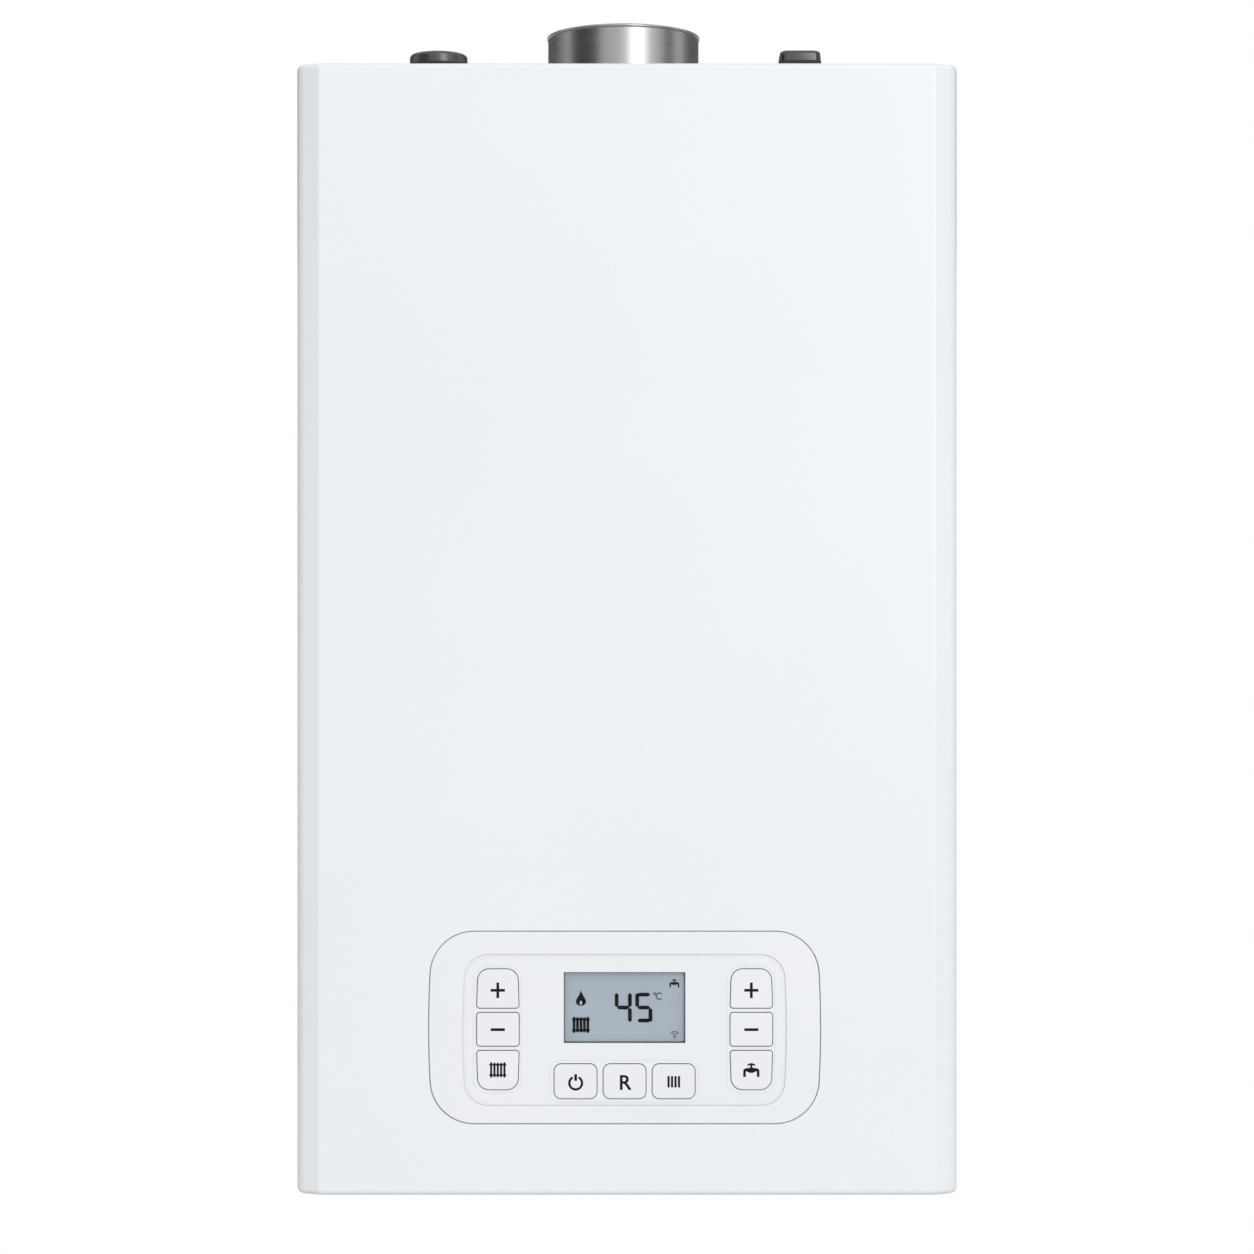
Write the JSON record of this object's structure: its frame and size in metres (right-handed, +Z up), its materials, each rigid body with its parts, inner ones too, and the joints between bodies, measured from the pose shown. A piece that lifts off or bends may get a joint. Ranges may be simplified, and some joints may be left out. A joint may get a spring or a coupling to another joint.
{
  "type": "wall-mounted gas boiler",
  "caption": "White wall-hung gas boiler with a lift-off front panel, a control panel with display and keys, a round flue collar on top and pipe unions below.",
  "frame": {"origin": "on the wall plane, at the middle of the casing's bottom edge", "axes": "+X to the right seen from the front, +Y towards the wall, +Z up"},
  "size_m": [0.41, 0.2501, 0.758],
  "materials": {
    "white_panel": "white powder coat, fine orange peel",
    "galvanised": "galvanised sheet",
    "stainless": "brushed stainless steel",
    "screw_steel": "zinc plated",
    "bezel_white": "white moulded plastic, satin",
    "key_white": "white keys, satin, printed symbols",
    "window": "clear plastic window",
    "display": "grey-blue liquid crystal display",
    "board_green": "circuit board",
    "grey_plastic": "grey moulded plastic",
    "black_rubber": "black rubber",
    "black_plastic": "black moulded plastic",
    "sight": "heat resistant glass",
    "fan_steel": "aluminised steel",
    "fibre": "ceramic fibre board",
    "electrode": "white glazed ceramic with wire",
    "copper": "copper",
    "brass": "cast brass",
    "vessel_red": "red enamel",
    "pump_iron": "black painted iron",
    "pump_motor_grey": "dark grey motor can",
    "impeller": "moulded impeller on a steel shaft",
    "gas_aluminium": "die cast aluminium",
    "knob_red": "red moulded knob"
  },
  "bodies": {
    "chassis": {"bottom_plate": "galvanised", "burner": "galvanised", "cable_gland": "black_plastic", "casing_screws": "screw_steel", "chamber_cover": "galvanised", "combustion_box": "galvanised", "control_bezel": "bezel_white", "control_board": "board_green", "control_box": "grey_plastic", "control_screws": "screw_steel", "display_module": "display", "display_window": "window", "diverter_motor": "black_plastic", "diverter_valve": "brass", "electrodes": "electrode", "expansion_vessel": "vessel_red", "fan_housing": "fan_steel", "fan_motor": "black_plastic", "filling_tap": "brass", "flue_collar": "stainless", "flue_gasket": "black_rubber", "flue_hood": "galvanised", "gas_manifold": "brass", "gas_pipe": "copper", "gas_valve": "gas_aluminium", "heat_exchanger": "copper", "inner_flue_pipe": "stainless", "insulation_panels": "fibre", "left_side_panel": "white_panel", "pipe_unions": "brass", "plate_heat_exchanger": "stainless", "pump_body": "pump_iron", "pump_motor": "pump_motor_grey", "rear_frame": "galvanised", "relief_valve": "brass", "return_manifold": "brass", "right_side_panel": "white_panel", "sealed_chamber": "galvanised", "sight_glass": "sight", "test_sockets": "black_plastic", "top_plate": "galvanised", "water_pipes": "copper"},
    "front_cover": {"front_panel": "white_panel", "front_panel_screws": "screw_steel"},
    "plug": {"air_test_plug": "black_rubber"},
    "cover": {"flue_test_cover": "black_plastic"},
    "fan_rotor": {"fan_impeller": "fan_steel"},
    "pump_rotor": {"pump_impeller": "impeller"},
    "spindle": {"diverter_spindle": "brass"},
    "relief_grip": {"relief_knob": "knob_red"},
    "filling_grip": {"filling_knob": "black_plastic"},
    "heating_plus_key": {"heating_plus_button": "key_white"},
    "heating_minus_key": {"heating_minus_button": "key_white"},
    "heating_mode_key": {"heating_mode_button": "key_white"},
    "water_plus_key": {"water_plus_button": "key_white"},
    "water_minus_key": {"water_minus_button": "key_white"},
    "water_mode_key": {"water_mode_button": "key_white"},
    "power_key": {"power_button": "key_white"},
    "reset_key": {"reset_button": "key_white"},
    "info_key": {"info_button": "key_white"}
  },
  "joints": [
    {"name": "front_panel_pull", "type": "slide", "parent": "chassis", "child": "front_cover", "axis": [0, -1, 0], "range_m": [0, 0.3]},
    {"name": "plug_pull", "type": "slide", "parent": "chassis", "child": "plug", "axis": [0, 0, 1], "range_m": [0, 0.05]},
    {"name": "cover_pull", "type": "slide", "parent": "chassis", "child": "cover", "axis": [0, 0, 1], "range_m": [0, 0.05]},
    {"name": "fan_spin", "type": "hinge", "parent": "chassis", "child": "fan_rotor", "pos_m": [-0.0324, -0.107, 0.632], "axis": [0, 1, 0], "continuous": true},
    {"name": "pump_spin", "type": "hinge", "parent": "chassis", "child": "pump_rotor", "pos_m": [0.13, -0.085, 0.166], "axis": [0, 1, 0], "continuous": true},
    {"name": "diverter_stroke", "type": "slide", "parent": "chassis", "child": "spindle", "axis": [0, 0, 1], "range_m": [0, 0.008]},
    {"name": "relief_knob_turn", "type": "hinge", "parent": "chassis", "child": "relief_grip", "pos_m": [0.13, -0.144, 0.088], "axis": [0, -1, 0], "range_deg": [0, 90]},
    {"name": "filling_knob_turn", "type": "hinge", "parent": "chassis", "child": "filling_grip", "pos_m": [0.096, -0.085, 0.018], "axis": [0, 0, -1], "range_deg": [0, 270]},
    {"name": "heating_plus_press", "type": "slide", "parent": "chassis", "child": "heating_plus_key", "axis": [0, 1, 0], "range_m": [0, 0.0012], "stiffness_N_per_m": 800},
    {"name": "heating_minus_press", "type": "slide", "parent": "chassis", "child": "heating_minus_key", "axis": [0, 1, 0], "range_m": [0, 0.0012], "stiffness_N_per_m": 800},
    {"name": "heating_mode_press", "type": "slide", "parent": "chassis", "child": "heating_mode_key", "axis": [0, 1, 0], "range_m": [0, 0.0012], "stiffness_N_per_m": 800},
    {"name": "water_plus_press", "type": "slide", "parent": "chassis", "child": "water_plus_key", "axis": [0, 1, 0], "range_m": [0, 0.0012], "stiffness_N_per_m": 800},
    {"name": "water_minus_press", "type": "slide", "parent": "chassis", "child": "water_minus_key", "axis": [0, 1, 0], "range_m": [0, 0.0012], "stiffness_N_per_m": 800},
    {"name": "water_mode_press", "type": "slide", "parent": "chassis", "child": "water_mode_key", "axis": [0, 1, 0], "range_m": [0, 0.0012], "stiffness_N_per_m": 800},
    {"name": "power_press", "type": "slide", "parent": "chassis", "child": "power_key", "axis": [0, 1, 0], "range_m": [0, 0.0012], "stiffness_N_per_m": 800},
    {"name": "reset_press", "type": "slide", "parent": "chassis", "child": "reset_key", "axis": [0, 1, 0], "range_m": [0, 0.0012], "stiffness_N_per_m": 800},
    {"name": "info_press", "type": "slide", "parent": "chassis", "child": "info_key", "axis": [0, 1, 0], "range_m": [0, 0.0012], "stiffness_N_per_m": 800}
  ]
}
